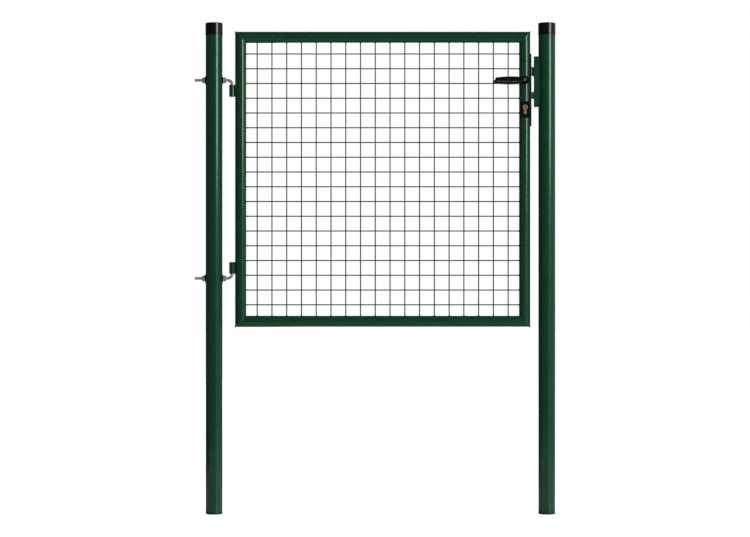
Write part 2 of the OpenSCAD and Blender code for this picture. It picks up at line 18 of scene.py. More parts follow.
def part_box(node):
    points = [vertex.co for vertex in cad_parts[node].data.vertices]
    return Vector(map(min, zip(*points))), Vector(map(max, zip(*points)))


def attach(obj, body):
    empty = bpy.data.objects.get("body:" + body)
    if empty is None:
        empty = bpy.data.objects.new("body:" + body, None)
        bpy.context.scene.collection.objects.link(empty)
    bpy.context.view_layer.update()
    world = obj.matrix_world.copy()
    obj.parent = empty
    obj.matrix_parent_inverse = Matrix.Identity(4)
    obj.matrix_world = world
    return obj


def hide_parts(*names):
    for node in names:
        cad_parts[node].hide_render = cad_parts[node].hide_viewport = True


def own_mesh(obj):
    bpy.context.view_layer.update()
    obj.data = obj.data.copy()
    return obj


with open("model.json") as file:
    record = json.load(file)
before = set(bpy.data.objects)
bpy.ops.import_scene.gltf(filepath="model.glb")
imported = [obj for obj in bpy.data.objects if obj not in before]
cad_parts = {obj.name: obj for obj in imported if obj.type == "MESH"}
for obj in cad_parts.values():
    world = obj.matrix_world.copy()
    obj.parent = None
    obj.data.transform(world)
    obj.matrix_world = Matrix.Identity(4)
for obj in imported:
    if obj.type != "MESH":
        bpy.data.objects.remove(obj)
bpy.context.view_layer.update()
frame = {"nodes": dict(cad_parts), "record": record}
MM = 0.001

# %% [markdown]
# ## Where things are
#
# A fitter measures the gate before adding anything to it. The record says which body a node
# moves with and which finish it wears, and the boxes give the axes of the posts, the tubes, the
# hinges and the lock. Working these out from the frame, and not from typed numbers, keeps the
# pieces in place if the gate is made in another width.

# %% Read the record and measure the frame
record = frame["record"]
body_of = {node: body for body, nodes in record["behaviour"]["bodies"].items() for node in nodes}
slot_of = {row["node"]: row["material_slot"] for row in record["subparts"]}


def middle(node):
    """The middle of a node's box."""
    low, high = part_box(node)
    return (low + high) / 2


post_low, post_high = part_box("hinge_post")
post_r = (post_high.x - post_low.x) / 2
post_top = post_high.z
post_xs = {"hinge_post": middle("hinge_post").x, "latch_post": middle("latch_post").x}

stile_low, stile_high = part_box("hinge_stile")
tube_r = (stile_high.y - stile_low.y) / 2
leaf_x0 = stile_low.x
leaf_x1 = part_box("latch_stile")[1].x
leaf_z0, leaf_z1 = stile_low.z, stile_high.z
stile_x = leaf_x0 + tube_r
lock_x = leaf_x1 - tube_r
print("leaf", round(leaf_x1 - leaf_x0, 3), "by", round(leaf_z1 - leaf_z0, 3))
print("post", round(post_r * 2, 4), "across")

# %% [markdown]
# ## Building blocks for the finishes
#
# Every finish here is grown from noise on object coordinates, so the pattern is fixed to the
# metal and has a size in millimetres. One helper starts a material with its constant values on
# the shader itself. The others make noise of a given size, turn it into a colour, a roughness or
# a bump, and chain bumps so that coarse waves and fine grain add up.


# %% Helpers for materials
def start_finish(slot, **constants):
    """A new material; constants go straight onto the shader's sockets."""
    mat = bpy.data.materials.new(slot)
    mat.use_nodes = True
    shader = mat.node_tree.nodes["Principled BSDF"]
    for name, value in constants.items():
        shader.inputs[name.replace("_", " ")].default_value = value
    return mat, shader


def noise(mat, size_mm, detail=2.0, stretch=(1, 1, 1)):
    """Noise with lumps of about size_mm, drawn out along an axis where stretch is below 1."""
    nodes, links = mat.node_tree.nodes, mat.node_tree.links
    coords = nodes.new("ShaderNodeTexCoord")
    mapping = nodes.new("ShaderNodeMapping")
    mapping.inputs["Scale"].default_value = stretch
    texture = nodes.new("ShaderNodeTexNoise")
    texture.inputs["Scale"].default_value = 1 / (size_mm * MM)
    texture.inputs["Detail"].default_value = detail
    links.new(coords.outputs["Object"], mapping.inputs["Vector"])
    links.new(mapping.outputs["Vector"], texture.inputs["Vector"])
    return texture.outputs[0]


def tint(mat, shader, factor, stops):
    """Colours the surface by noise; stops are pairs of a place on the ramp and a colour."""
    ramp = mat.node_tree.nodes.new("ShaderNodeValToRGB")
    elements = ramp.color_ramp.elements
    while len(elements) < len(stops):
        elements.new(0.5)
    for element, (place, colour) in zip(elements, stops):
        element.position = place
        element.color = (*colour, 1)
    mat.node_tree.links.new(factor, ramp.inputs["Fac"])
    mat.node_tree.links.new(ramp.outputs["Color"], shader.inputs["Base Color"])


def vary_roughness(mat, shader, factor, low, high):
    """Lets the roughness drift from low to high with the noise."""
    span = mat.node_tree.nodes.new("ShaderNodeMapRange")
    span.inputs["From Min"].default_value = 0.3
    span.inputs["From Max"].default_value = 0.7
    span.inputs["To Min"].default_value = low
    span.inputs["To Max"].default_value = high
    mat.node_tree.links.new(factor, span.inputs["Value"])
    mat.node_tree.links.new(span.outputs["Result"], shader.inputs["Roughness"])


def raise_bump(mat, shader, factor, height_mm, under=None):
    """Adds relief of height_mm, on top of an earlier bump if there is one."""
    bump = mat.node_tree.nodes.new("ShaderNodeBump")
    bump.inputs["Strength"].default_value = 1.0
    bump.inputs["Distance"].default_value = height_mm * MM
    mat.node_tree.links.new(factor, bump.inputs["Height"])
    if under:
        mat.node_tree.links.new(under.outputs["Normal"], bump.inputs["Normal"])
    mat.node_tree.links.new(bump.outputs["Normal"], shader.inputs["Normal"])
    return bump


# %% [markdown]
# ## Moss-green powder coat
#
# The tubes, the posts and the mesh are galvanised steel under a baked powder coat. Powder melts
# into a glossy skin that is never quite flat: it keeps an orange peel about a millimetre and a
# half across, over slow waves from the zinc below. The colour is a deep green that is a touch
# browner where the coat is thin. A plain glossy green would give razor-sharp reflections, and the
# peel is what softens them.


# %% Moss-green powder coat
def moss_green_coat():
    mat, shader = start_finish(
        "moss_green_coat", Specular_IOR_Level=0.5, Specular_Tint=(0.80, 1.0, 0.87, 1))
    patches = noise(mat, 60, detail=3)
    tint(mat, shader, patches, [
        (0.30, (0.0072, 0.0640, 0.0285)),
        (0.52, (0.0079, 0.0702, 0.0313)),
        (0.72, (0.0090, 0.0745, 0.0335)),
    ])
    vary_roughness(mat, shader, noise(mat, 9, detail=3), 0.10, 0.16)
    waves = raise_bump(mat, shader, noise(mat, 14, detail=1), 0.06)
    raise_bump(mat, shader, noise(mat, 1.5, detail=1), 0.012, under=waves)
    return mat


# %% [markdown]
# ## Black plastic and black coat
#
# The post caps, the levers and their bases are moulded in black nylon. A mould gives a fine,
# even grain and a satin shine that handling polishes in places, so the roughness drifts over a
# few centimetres and the relief is tiny. The forend is steel with a thinner black coat, which is
# a little glossier and shows faint scuffs drawn along its length.


# %% Black plastic and black coat
def black_plastic():
    mat, shader = start_finish("black_plastic", Specular_IOR_Level=0.5)
    tint(mat, shader, noise(mat, 25, detail=4), [
        (0.30, (0.0042, 0.0046, 0.0050)),
        (0.70, (0.0060, 0.0064, 0.0068)),
    ])
    vary_roughness(mat, shader, noise(mat, 18, detail=4), 0.11, 0.18)
    sink = raise_bump(mat, shader, noise(mat, 10, detail=1), 0.02)
    raise_bump(mat, shader, noise(mat, 0.6, detail=1), 0.002, under=sink)
    return mat


def black_coat():
    mat, shader = start_finish("black_coat", Specular_IOR_Level=0.5)
    tint(mat, shader, noise(mat, 30, detail=4), [
        (0.30, (0.0050, 0.0056, 0.0060)),
        (0.70, (0.0080, 0.0086, 0.0092)),
    ])
    vary_roughness(mat, shader, noise(mat, 2.5, detail=3, stretch=(1, 1, 0.06)), 0.28, 0.42)
    raise_bump(mat, shader, noise(mat, 1.0, detail=1), 0.008)
    return mat


# %% [markdown]
# ## Bare metals
#
# The hook bolts, nuts and washers are bright zinc plate, which dulls in cloudy patches. Bolts,
# spindle and lock case are nickel-plated steel with the fine lines of the grinding belt, so the
# noise is drawn out along one axis. The cylinder is planed brass, with faint lines from the cutter
# across its face and a slightly warmer tone where fingers have been. A full metal takes all its
# colour from reflections. Metal that has dulled scatters part of the light instead, so none of
# these three is metallic all the way.


# %% Zinc, steel and brass
def zinc_plate():
    mat, shader = start_finish("zinc_plate", Metallic=0.6)
    tint(mat, shader, noise(mat, 7, detail=5), [
        (0.30, (0.44, 0.47, 0.50)),
        (0.50, (0.58, 0.61, 0.63)),
        (0.72, (0.68, 0.70, 0.71)),
    ])
    vary_roughness(mat, shader, noise(mat, 3, detail=4), 0.26, 0.44)
    raise_bump(mat, shader, noise(mat, 0.8, detail=2), 0.012)
    return mat


def bright_steel():
    mat, shader = start_finish("bright_steel", Metallic=0.75)
    tint(mat, shader, noise(mat, 5, detail=4), [
        (0.30, (0.48, 0.48, 0.47)),
        (0.70, (0.60, 0.60, 0.59)),
    ])
    lines = noise(mat, 0.5, detail=3, stretch=(1, 1, 0.05))
    vary_roughness(mat, shader, lines, 0.20, 0.34)
    raise_bump(mat, shader, lines, 0.004)
    return mat


def brass():
    mat, shader = start_finish("brass", Metallic=0.85)
    tint(mat, shader, noise(mat, 6, detail=4), [
        (0.30, (0.78, 0.58, 0.25)),
        (0.70, (0.84, 0.65, 0.32)),
    ])
    marks = noise(mat, 0.25, detail=2, stretch=(0.15, 0.1, 1))
    vary_roughness(mat, shader, marks, 0.24, 0.34)
    raise_bump(mat, shader, marks, 0.0008)
    return mat


# %% Give every node of the frame its finish
makers = [moss_green_coat, black_plastic, black_coat, zinc_plate, bright_steel, brass]
finishes = {maker.__name__: maker() for maker in makers}


def wear(piece, slot):
    """Puts one finish on all of an object."""
    piece.data.materials.clear()
    piece.data.materials.append(finishes[slot])


for node, node_object in frame["nodes"].items():
    wear(node_object, slot_of[node])
print("finishes", sorted(finishes))

# %% [markdown]
# ## Helpers for shapes
#
# Three ways of making shapes cover the whole gate. A copy of a CAD node can have its sharp edges
# broken, as a file or a mould does. A ring can be carried through a row of matrices, which makes
# bent bolts, levers and weld beads. An outline can be turned round an axis, as on a lathe.
#
# One helper hands a finished mesh over. It smooths the shading, keeps real corners sharp, and ties
# the piece to the body that it moves with. Its Weighted Normal modifier lets the large flat faces
# set the shading, so that only a rounded edge looks round, and not the whole plate.


# %% Helper that hands a mesh over
CORNER = 35


def finish_piece(name, bm, like, replaces=(), sharp=CORNER, body=None):
    """Makes the mesh an object finished like the CAD node like; it moves with that node or with body."""
    bmesh.ops.recalc_face_normals(bm, faces=bm.faces)
    mesh = bpy.data.meshes.new(name)
    bm.to_mesh(mesh)
    bm.free()
    mesh.shade_smooth()
    mesh.set_sharp_from_angle(angle=math.radians(sharp))
    piece = bpy.data.objects.new(name, mesh)
    bpy.context.scene.collection.objects.link(piece)
    piece.modifiers.new("flat_faces_stay_flat", "WEIGHTED_NORMAL").keep_sharp = True
    wear(piece, slot_of[like])
    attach(piece, body or body_of[like])
    if replaces:
        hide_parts(*replaces)
    print(name, len(mesh.polygons), "faces")
    return piece


# %% Helpers for shapes
def break_edges(node, width_mm, segments=3):
    """A merged copy of a CAD node with its sharp edges rounded."""
    nearly_flat = math.radians(0.5)
    bm = bmesh.new()
    bm.from_mesh(frame["nodes"][node].data)
    bmesh.ops.remove_doubles(bm, verts=bm.verts, dist=0.005 * MM)
    bmesh.ops.dissolve_limit(bm, angle_limit=nearly_flat, verts=bm.verts, edges=bm.edges)
    corners = [edge for edge in bm.edges if edge.calc_face_angle(0) > math.radians(CORNER)]
    bmesh.ops.bevel(
        bm, geom=corners, offset=width_mm * MM, offset_type="OFFSET", affect="EDGES",
        segments=segments, profile=0.5, material=-1, clamp_overlap=True)
    return bm


def sweep(bm, stations, sides=24):
    """Carries a ring of radius 1 through the stations and closes both ends."""
    ring = bmesh.ops.create_circle(bm, cap_ends=False, radius=1, segments=sides)["verts"]
    edges = list({edge for vert in ring for edge in vert.link_edges})
    first_edges = edges
    bmesh.ops.transform(bm, matrix=stations[0], verts=ring)
    for before, after in zip(stations, stations[1:]):
        grown = bmesh.ops.extrude_edge_only(bm, edges=edges)["geom"]
        ring = [item for item in grown if isinstance(item, bmesh.types.BMVert)]
        edges = [item for item in grown if isinstance(item, bmesh.types.BMEdge)]
        bmesh.ops.transform(bm, matrix=after @ before.inverted(), verts=ring)
    bmesh.ops.holes_fill(bm, edges=first_edges + edges, sides=0)


def station(place, along, across, wide, high):
    """Where a ring stands: at place, facing along; it is wide across, and high the other way."""
    along = along.normalized()
    across = (across - across.dot(along) * along).normalized()
    up = along.cross(across)
    turn = Matrix((across, up, along)).transposed().to_4x4()
    return Matrix.Translation(place) @ turn @ Matrix.Diagonal((wide, high, 1, 1))


def turn_outline(bm, outline, axis_x, steps=96):
    """Turns an outline of (radius, height) round an upright axis."""
    verts = [bm.verts.new((axis_x + radius, 0, height)) for radius, height in outline]
    edges = [bm.edges.new(pair) for pair in zip(verts, verts[1:])]
    bmesh.ops.spin(
        bm, geom=verts + edges, cent=(axis_x, 0, 0), axis=(0, 0, 1), dvec=(0, 0, 0),
        angle=math.tau, steps=steps, use_merge=True, use_duplicate=False)
    bmesh.ops.remove_doubles(bm, verts=bm.verts, dist=0.001 * MM)


# %% [markdown]
# ## Post caps
#
# Each post is closed by a moulded cap that is pushed over its end. Such a cap has a crown that
# bulges very slightly, so that rain runs off, a rim with a small radius, and a thicker lip at its
# foot where the mould parted. It is a turned shape, so one outline is drawn from the inside of
# the crown, down the bore, round the lip and back up to the middle of the crown, and spun.


# %% Post caps
def cap_outline(bore_r, out_r, foot, ceiling, top):
    """The outline of a cap's section, from the middle of its ceiling to the top of its crown."""
    lip_proud = 0.35 * MM
    lip_h = 3.2 * MM
    slope_h = 0.6 * MM
    edge_w = 0.3 * MM
    rim_r = 2.8 * MM
    dome = 0.5 * MM
    side_r = out_r - lip_proud
    side_foot = foot + lip_h + slope_h
    rim_z = top - dome - rim_r
    outline = [(0, ceiling), (bore_r, ceiling), (bore_r, foot + slope_h), (bore_r + edge_w, foot)]
    outline += [(out_r - edge_w, foot), (out_r, foot + edge_w), (out_r, foot + lip_h)]
    # Two rings close to the side's ends keep its shading upright, so that its reflection stays straight.
    outline += [(side_r, side_foot), (side_r, side_foot + 0.6 * MM), (side_r, rim_z - 0.8 * MM)]
    for degrees in range(0, 90, 10):
        angle = math.radians(degrees)
        outline.append((side_r - rim_r + rim_r * math.cos(angle), rim_z + rim_r * math.sin(angle)))
    crown_r, crown_z = outline[-1]
    crown_steps = 6
    for step in range(1, crown_steps + 1):
        part = step / crown_steps
        outline.append((crown_r * (1 - part), crown_z + (top - crown_z) * math.sin(part * math.pi / 2)))
    return outline


CAP_SKIN = 1.1 * MM
for post, axis_x in post_xs.items():
    low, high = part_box(post + "_cap")
    outer_r = (high.x - low.x) / 2
    bm = bmesh.new()
    turn_outline(bm, cap_outline(outer_r - CAP_SKIN, outer_r, low.z, post_top, high.z), axis_x)
    finish_piece(post + "_cap_moulding", bm, post + "_cap", replaces=[post + "_cap"])

# %% [markdown]
# ## Hook bolts
#
# A hook bolt is a threaded rod with its end bent up or down to make the hinge pin. The bend is
# the part that shows, so the rod is swept: straight through the post, round a quarter circle, and
# along the pin to a chamfered end. Where it is threaded, the rod is turned down to the bottom of
# the thread, and the thread itself is a ridge that climbs round it.


# %% Rings along a hook bolt
PITCH = 1.5 * MM
THREAD_DEPTH = 0.8 * MM


def hook_stations(rod_z, way, tail_x, bend_x, bend_r, rod_r, pin_end, post_half):
    """Rings along the hook: rod, bend and pin; the rod is thinner where it is threaded."""
    core_r = rod_r - THREAD_DEPTH
    chamfer = 1.2 * MM
    across = Vector((0, 1, 0))
    forward = Vector((1, 0, 0))
    rod = [
        (tail_x, core_r - chamfer / 2), (tail_x + chamfer, core_r), (-post_half, core_r),
        (-post_half + chamfer, rod_r), (post_half - chamfer, rod_r), (post_half, core_r),
        (bend_x - 2 * chamfer, core_r), (bend_x - chamfer, rod_r),
    ]
    stations = [station(Vector((x, 0, rod_z)), forward, across, r, r) for x, r in rod]
    bend_steps = 12
    for step in range(bend_steps + 1):
        angle = math.radians(90 * step / bend_steps)
        x = bend_x + bend_r * math.sin(angle)
        z = rod_z + way * bend_r * (1 - math.cos(angle))
        place = Vector((x, 0, z))
        along = Vector((math.cos(angle), 0, way * math.sin(angle)))
        stations.append(station(place, along, across, rod_r, rod_r))
    pin_x = bend_x + bend_r
    upright = Vector((0, 0, way))
    for z, r in [(pin_end - way * chamfer, rod_r), (pin_end, rod_r - chamfer)]:
        stations.append(station(Vector((pin_x, 0, z)), upright, across, r, r))
    return stations


# %% Threads
def cut_thread(bm, rod_z, rod_r, start, end):
    """A ridge that climbs round the rod from start to end, pitch by pitch."""
    steps = 20
    turns = int((end - start) / PITCH) - 1
    worn = 0.05 * MM
    sunk = 0.02 * MM
    crest_r = rod_r - worn
    root_r = rod_r - THREAD_DEPTH - sunk
    flat = 0.1 * PITCH
    section = [(0, root_r), (PITCH / 2 - flat, crest_r), (PITCH / 2 + flat, crest_r), (PITCH, root_r)]
    verts = [bm.verts.new((start + x, 0, rod_z + r)) for x, r in section]
    edges = [bm.edges.new((verts[i], verts[(i + 1) % len(verts)])) for i in range(len(verts))]
    bmesh.ops.spin(
        bm, geom=verts + edges, cent=(0, 0, rod_z), axis=(1, 0, 0), dvec=(PITCH / steps, 0, 0),
        angle=math.tau * turns, steps=steps * turns, use_merge=False, use_duplicate=False)


# %% Hook bolts
BEND_R = 15 * MM
RUN_OUT = 1 * MM
post_half = 0.9 * post_r
for name, way in [("upper_hinge_hook", -1), ("lower_hinge_hook", 1)]:
    low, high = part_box(name)
    rod_r = (high.y - low.y) / 2
    rod_z = high.z - rod_r if way < 0 else low.z + rod_r
    pin_end = low.z if way < 0 else high.z
    eye_low, eye_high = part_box(name.replace("hook", "eye"))
    pin_x = eye_low.x + (eye_high.y - eye_low.y) / 2
    bend_x = pin_x - BEND_R
    bm = bmesh.new()
    sweep(bm, hook_stations(rod_z, way, low.x, bend_x, BEND_R, rod_r, pin_end, post_half))
    cut_thread(bm, rod_z, rod_r, low.x + RUN_OUT, -post_half)
    cut_thread(bm, rod_z, rod_r, post_half, bend_x - RUN_OUT)
    open_edges = [edge for edge in bm.edges if edge.is_boundary]
    bmesh.ops.holes_fill(bm, edges=open_edges, sides=0)
    finish_piece(name + "_bolt", bm, name, replaces=[name], sharp=25)

# %% [markdown]
# ## Nuts, washers and saddles
#
# Nuts and washers are stamped, so their edges roll over by a fraction of a millimetre, and a
# moulded saddle has a softer edge still. These shapes are already right in the frame. What they
# lack is that rolled edge, which is what catches the light on small metal parts, so each is
# copied and its edges are broken.

# %% Break the edges of the hinge hardware
for node, width in [("hinge_nuts", 0.25), ("hinge_washers", 0.3), ("saddle_washers", 0.7)]:
    finish_piece(node + "_rounded", break_edges(node, width), node, replaces=[node])

# %% [markdown]
# ## Lock furniture
#
# The forend, the keep, the rosettes and the escutcheons are plates with a visible thickness. Bent
# or moulded, none of them has a knife edge. The latch and the dead bolt are sintered and then
# tumbled, which rounds them slightly, while the cylinder, its plugs and the hinge eyes are only
# deburred after cutting. The same edge-breaking serves them all, with a width that suits how each
# one is made.

# %% Break the edges of the lock furniture and the hinge eyes
edge_widths = {
    "lock_forend": 0.7, "strike_keep": 0.7, "front_rosette": 1.4, "back_rosette": 1.4,
    "front_escutcheon": 1.6, "back_escutcheon": 1.6, "latch_bolt": 0.5, "dead_bolt": 0.6,
    "cylinder_body": 0.3, "front_plug": 0.2, "back_plug": 0.2, "forend_screws": 0.2,
    "upper_hinge_eye": 0.5, "lower_hinge_eye": 0.5,
}
for node, width in edge_widths.items():
    finish_piece(node + "_rounded", break_edges(node, width), node, replaces=[node])

# %% [markdown]
# ## Latch spring
#
# A coil spring behind the latch pushes it out. It stands between the rear wall of the lock case,
# which belongs to the leaf, and the back of the latch, which slides. Here it rides on the leaf
# only, and it keeps its length when the latch draws in. The coil itself is one small ring, spun
# round the spring's axis while it moves along.

# %% Latch spring
SPRING_TURNS = 8
STEPS_A_TURN = 24
SPRING_WIRE_R = 0.4 * MM
spring_low, spring_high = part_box("latch_spring")
spring_axis = middle("latch_spring")
spring_len = spring_high.x - spring_low.x
coil_r = (spring_high.y - spring_low.y) / 2 - SPRING_WIRE_R
coil_steps = SPRING_TURNS * STEPS_A_TURN
coil_stride = (spring_len - 2 * SPRING_WIRE_R) / coil_steps
bm = bmesh.new()
ring_place = Matrix.Translation((spring_low.x + SPRING_WIRE_R, spring_axis.y, spring_axis.z + coil_r))
ring_turn = Matrix.Rotation(math.radians(90), 4, "X")
wire_ring = bmesh.ops.create_circle(
    bm, cap_ends=False, radius=SPRING_WIRE_R, segments=10, matrix=ring_place @ ring_turn)["verts"]
wire_edges = list({edge for vert in wire_ring for edge in vert.link_edges})
bmesh.ops.spin(
    bm, geom=wire_ring + wire_edges, cent=spring_axis, axis=(1, 0, 0), dvec=(coil_stride, 0, 0),
    angle=math.tau * SPRING_TURNS, steps=coil_steps, use_merge=False, use_duplicate=False)
bmesh.ops.holes_fill(bm, edges=[edge for edge in bm.edges if edge.is_boundary], sides=0)
coil = finish_piece("latch_spring_coil", bm, "latch_spring", replaces=["latch_spring"], body="leaf")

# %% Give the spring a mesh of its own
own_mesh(coil)

# %% [markdown]
# ## Levers
#
# A lever starts as a round neck on the rosette, curves over, and runs back across the stile as a
# flattened grip that is tallest in the middle and ends in a round tip. A sweep follows that idea
# closely: every ring has its own width and height, and the path bends through a quarter circle
# before it bows along the grip. Each ring is written as a row: how far it stands from the lever's
# axis, how far out from the gate, which way the path runs there (back along the lever, and out),
# and half its thickness and half its height. A last pass of subdivision makes the skin even.

# %% Measure the levers
lever_low, lever_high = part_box("front_lever")
lever_z = middle("spindle").z
rosette_face = -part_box("front_rosette")[0].y
lever_out = -lever_low.y
lever_len = lock_x - lever_low.x
neck_r = lever_high.x - lock_x
print("lever", round(lever_len, 4), "long, stands out", round(lever_out, 4))


# %% Rings along a lever
GRIP_HALF_T = 5 * MM
GRIP_BEND_R = 12 * MM
GRIP_BOW_R = 350 * MM
HEEL_HALF_H = 7.8 * MM
TIP_R = 6.5 * MM
SWELL = 1.9 * MM
THINNING = 0.6 * MM
SHOULDER_R = neck_r - 0.6 * MM
crest = 0.42 * lever_len
grip_end = lever_len - TIP_R


def grip_out(run):
    """How far out the grip's middle line lies, at a distance run from the lever's axis."""
    return lever_out - GRIP_HALF_T - (run - crest) ** 2 / (2 * GRIP_BOW_R)


def grip_slope(run):
    """How steeply the grip's middle line leaves the gate there."""
    return -(run - crest) / GRIP_BOW_R


def neck_rows():
    """The straight round neck, with a small collar where it leaves the rosette."""
    collar_h = 0.6 * MM
    foot = rosette_face + 0.4 * MM
    bend_start = grip_out(GRIP_BEND_R) - GRIP_BEND_R
    radii = [(foot, neck_r - 0.5 * MM), (foot + collar_h, neck_r),
             (foot + 5 * MM, neck_r - 0.3 * MM), (bend_start, SHOULDER_R)]
    return [(0, out, 0, 1, radius, radius) for out, radius in radii]


def bend_rows(steps=8):
    """The quarter circle, on which the round neck eases into the flattened grip."""
    bend_start = grip_out(GRIP_BEND_R) - GRIP_BEND_R
    rows = []
    for step in range(1, steps):
        part = step / steps
        angle = part * math.pi / 2
        ease = part * part * (3 - 2 * part)
        half_t = SHOULDER_R + (GRIP_HALF_T - SHOULDER_R) * ease
        half_h = SHOULDER_R + (HEEL_HALF_H - SHOULDER_R) * ease
        run = GRIP_BEND_R * (1 - math.cos(angle))
        out = bend_start + GRIP_BEND_R * math.sin(angle)
        rows.append((run, out, math.sin(angle), math.cos(angle), half_t, half_h))
    return rows


def grip_rows(steps=12):
    """The grip, tallest near its middle, and its rounded tip."""
    rows = []
    for step in range(steps + 1):
        part = step / steps
        run = GRIP_BEND_R + (grip_end - GRIP_BEND_R) * part
        half_h = HEEL_HALF_H * (1 - part) + TIP_R * part + SWELL * math.sin(math.pi * part)
        rows.append((run, grip_out(run), 1, grip_slope(run), GRIP_HALF_T - THINNING * part, half_h))
    for angle in (20, 40, 58, 72, 82):
        run = grip_end + TIP_R * math.sin(math.radians(angle))
        shrink = math.cos(math.radians(angle))
        half_t = (GRIP_HALF_T - THINNING) * shrink ** 0.6
        rows.append((run, grip_out(run), 1, grip_slope(grip_end), half_t, TIP_R * shrink))
    return rows


# %% Levers
def lever_stations(side):
    """Rings along a lever, from the rosette to the tip; side is -1 in front and 1 behind."""
    stations = []
    for run, out, along_x, along_out, half_t, half_h in neck_rows() + bend_rows() + grip_rows():
        place = Vector((lock_x - run, side * out, lever_z))
        along = Vector((-along_x, side * along_out, 0))
        stations.append(station(place, along, Vector((0, 0, 1)), half_h, half_t))
    return stations


for node, side in [("front_lever", -1), ("back_lever", 1)]:
    bm = bmesh.new()
    sweep(bm, lever_stations(side), sides=28)
    bmesh.ops.subdivide_edges(
        bm, edges=[edge for edge in bm.edges if len(edge.link_faces) == 2], cuts=1, smooth=0.6,
        use_grid_fill=True)
    finish_piece(node + "_moulding", bm, node, replaces=[node], sharp=50)

# %% [markdown]
# ## Weld beads
#
# A hand weld is a row of overlapping drops that freeze one after another, so its surface is a
# train of small ripples. A plain tube of weld would look like piping. Here the ring that is swept
# swells and shrinks along its path, one ripple every couple of millimetres. The beads run round
# the four mitres, up both sides of each hinge eye, and in short runs down the keep.


# %% Helper for weld beads
def lay_bead(bm, places, outwards, wide, high, ripples):
    """A bead along the places; it stands high along outwards and spreads wide to each side."""
    ripple = 0.12
    end_size = 0.55
    last = len(places) - 1
    stations = []
    for i, (place, outward) in enumerate(zip(places, outwards)):
        along = places[min(i + 1, last)] - places[max(i - 1, 0)]
        swell = 1 - ripple + ripple * math.cos(math.tau * ripples * i / last)
        ends = end_size if i in (0, last) else 1
        stations.append(station(place, along, outward, high * swell * ends, wide * swell * ends))
    sweep(bm, stations, sides=10)


# %% Welds at the mitres of the leaf
bm = bmesh.new()
mitre_bead_wide = 2.4 * MM
mitre_bead_high = 1.0 * MM
mitre_steps = 160
for axis_x, into_x in [(stile_x, 1), (lock_x, -1)]:
    for axis_z, into_z in [(leaf_z0 + tube_r, 1), (leaf_z1 - tube_r, -1)]:
        places, outwards = [], []
        for step in range(mitre_steps + 1):
            angle = math.tau * step / mitre_steps
            inward = math.cos(angle)
            spoke = Vector((into_x * inward, math.sin(angle), into_z * inward))
            places.append(Vector((axis_x, 0, axis_z)) + tube_r * spoke)
            outwards.append(spoke)
        lay_bead(bm, places, outwards, mitre_bead_wide, mitre_bead_high, ripples=54)
finish_piece("mitre_welds", bm, "top_rail", sharp=70)


# %% Helper for upright welds
def upright_bead(bm, x, y, low_z, high_z, wide, high, outward):
    """A bead that climbs from low_z to high_z, with a ring every half millimetre."""
    ring_gap = 0.5 * MM
    ripple_gap = 2.1 * MM
    steps = int((high_z - low_z) / ring_gap)
    places = [Vector((x, y, low_z + (high_z - low_z) * i / steps)) for i in range(steps + 1)]
    ripples = round((high_z - low_z) / ripple_gap)
    lay_bead(bm, places, [outward] * len(places), wide, high, ripples)


# %% Welds beside the hinge eyes
EYE_BEAD_WIDE = 3.2 * MM
EYE_BEAD_HIGH = 1.6 * MM
EYE_BEAD_INSET = 3.5 * MM
eye_seam_x = leaf_x0 - 0.6 * MM
eye_seam_y = 4.4 * MM
bm = bmesh.new()
for node in ("upper_hinge_eye", "lower_hinge_eye"):
    low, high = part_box(node)
    for side in (-1, 1):
        upright_bead(
            bm, eye_seam_x, side * eye_seam_y, low.z + EYE_BEAD_INSET, high.z - EYE_BEAD_INSET,
            EYE_BEAD_WIDE, EYE_BEAD_HIGH, Vector((0, side, 0)))
finish_piece("hinge_eye_welds", bm, "upper_hinge_eye", sharp=70)

# %% Welds down the keep
STITCHES = 4
STITCH_LEN = 20 * MM
STITCH_INSET = 1 * MM
STITCH_WIDE = 2.2 * MM
STITCH_HIGH = 1.3 * MM
keep_low, keep_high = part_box("strike_keep")
keep_seam_x = post_xs["latch_post"] - math.sqrt(post_r ** 2 - keep_high.y ** 2)
first_stitch = keep_low.z + STITCH_INSET
last_stitch = keep_high.z - STITCH_INSET - STITCH_LEN
bm = bmesh.new()
for side in (-1, 1):
    for i in range(STITCHES):
        start = first_stitch + (last_stitch - first_stitch) * i / (STITCHES - 1)
        upright_bead(
            bm, keep_seam_x, side * keep_high.y, start, start + STITCH_LEN,
            STITCH_WIDE, STITCH_HIGH, Vector((-0.5, side, 0)))
finish_piece("keep_welds", bm, "strike_keep", sharp=70)

# %% [markdown]
# ## Spot welds of the mesh
#
# The mesh is welded by pressing each crossing between two electrodes, so the wires sink into each
# other and a flat little nugget squeezes out around the contact. Where a wire meets the frame it
# is tacked with a small collar of weld. There are hundreds of these, so each is only a few dozen
# faces: a flattened ball at each crossing and a short cone at each end. A spin by no angle at all
# but with a stride is an array: the first ball is repeated along a wire, and then the row upwards.

# %% Measure the mesh
up_low, up_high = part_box("vertical_wires")
flat_low, flat_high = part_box("horizontal_wires")
wire_r = (up_high.y - up_low.y) / 2
nominal_pitch = 50 * MM
pitches = round((up_high.x - up_low.x - 2 * wire_r) / nominal_pitch)
pitch = (up_high.x - up_low.x - 2 * wire_r) / pitches
wire_xs = [up_low.x + wire_r + i * pitch for i in range(pitches + 1)]
rows = round((flat_high.z - flat_low.z - 2 * wire_r) / pitch)
wire_zs = [flat_low.z + wire_r + i * pitch for i in range(rows + 1)]
up_y = middle("vertical_wires").y
flat_y = middle("horizontal_wires").y
print("mesh", len(wire_xs), "by", len(wire_zs), "wires, pitch", round(pitch, 4))

